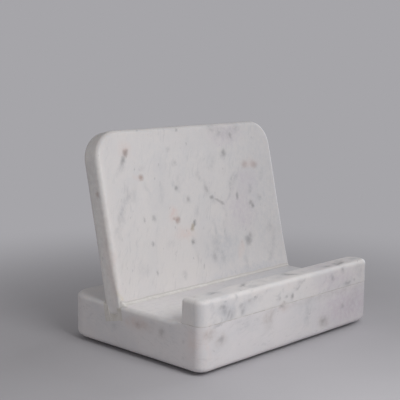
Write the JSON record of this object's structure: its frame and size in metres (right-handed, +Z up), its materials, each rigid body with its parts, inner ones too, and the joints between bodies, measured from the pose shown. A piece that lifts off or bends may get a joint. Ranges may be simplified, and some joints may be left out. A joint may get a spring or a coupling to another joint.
{
  "type": "cookbook stand",
  "caption": "Marble cookbook stand: a panel leans back in a slot sawn across a thick base, with a raised lip along the front to hold the book's lower edge.",
  "frame": {"origin": "middle of the footprint, on the surface that the stand rests on", "axes": "+X along the width, to the right for someone who faces the stand; +Y to the back, away from the lip; +Z up"},
  "size_m": [0.254, 0.182, 0.2048],
  "materials": {
    "marble": "honed white marble with soft grey clouds and flecks",
    "adhesive": "set cream stone adhesive",
    "rubber": "matt"
  },
  "bodies": {
    "root": {"base_slab": "marble", "front_lip": "marble", "back_panel": "marble", "slot_adhesive": "adhesive", "lip_adhesive": "adhesive", "foot_bead": "adhesive", "pad_front_left": "rubber", "pad_front_right": "rubber", "pad_rear_left": "rubber", "pad_rear_right": "rubber"}
  },
  "joints": []
}
